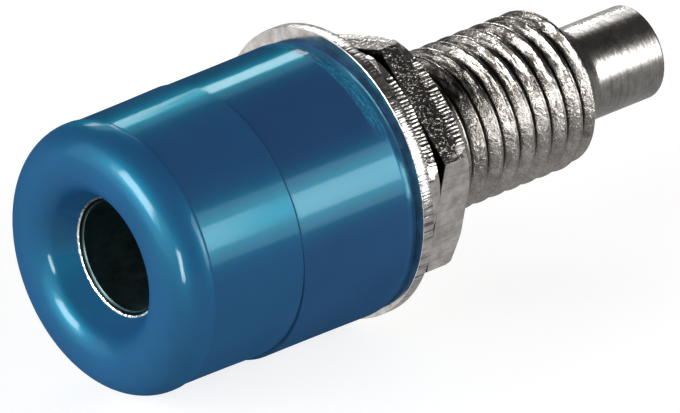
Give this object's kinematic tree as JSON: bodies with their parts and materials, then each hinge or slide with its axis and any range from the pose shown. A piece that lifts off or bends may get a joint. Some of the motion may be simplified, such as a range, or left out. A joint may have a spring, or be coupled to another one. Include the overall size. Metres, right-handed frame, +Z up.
{
  "type": "banana socket",
  "caption": "Insulated panel socket for a banana plug: rounded plastic head, threaded metal sleeve with a solder pin, insulating rear bush, washer and thin hexagon nuts.",
  "frame": {"origin": "on the socket's axis, in the plane where the head seats on the front of the panel", "axes": "+Y along the axis from the nose to the solder pin, +Z up, as the socket sits in an upright front panel"},
  "size_m": [0.0108, 0.0253, 0.0108],
  "materials": {
    "blue_plastic": "glossy moulded deep-blue plastic",
    "turned_nickel": "turned brass with a satin nickel plate",
    "stamped_nickel": "stamped brass with a nickel plate, sheared rim",
    "nut_nickel": "nickel-plated brass with milled flats"
  },
  "bodies": {
    "socket": {"insulator_head": "blue_plastic", "contact_sleeve": "turned_nickel"},
    "clamp_stack": {"rear_bush": "blue_plastic", "washer": "stamped_nickel"},
    "nut_pair": {"mounting_nut": "nut_nickel", "lock_nut": "nut_nickel"}
  },
  "joints": [
    {"name": "clamp_slide", "type": "slide", "parent": "socket", "child": "clamp_stack", "axis": [0, 1, 0], "range_m": [0, 0.006]},
    {"name": "nut_turn", "type": "hinge", "parent": "clamp_stack", "child": "nut_pair", "pos_m": [0, 0.007, 0], "axis": [0, 1, 0], "range_deg": [0, 2880]}
  ],
  "couplings": [
    {"joint": "nut_turn", "follows": "clamp_slide", "rad_per_m": 8377.5}
  ]
}
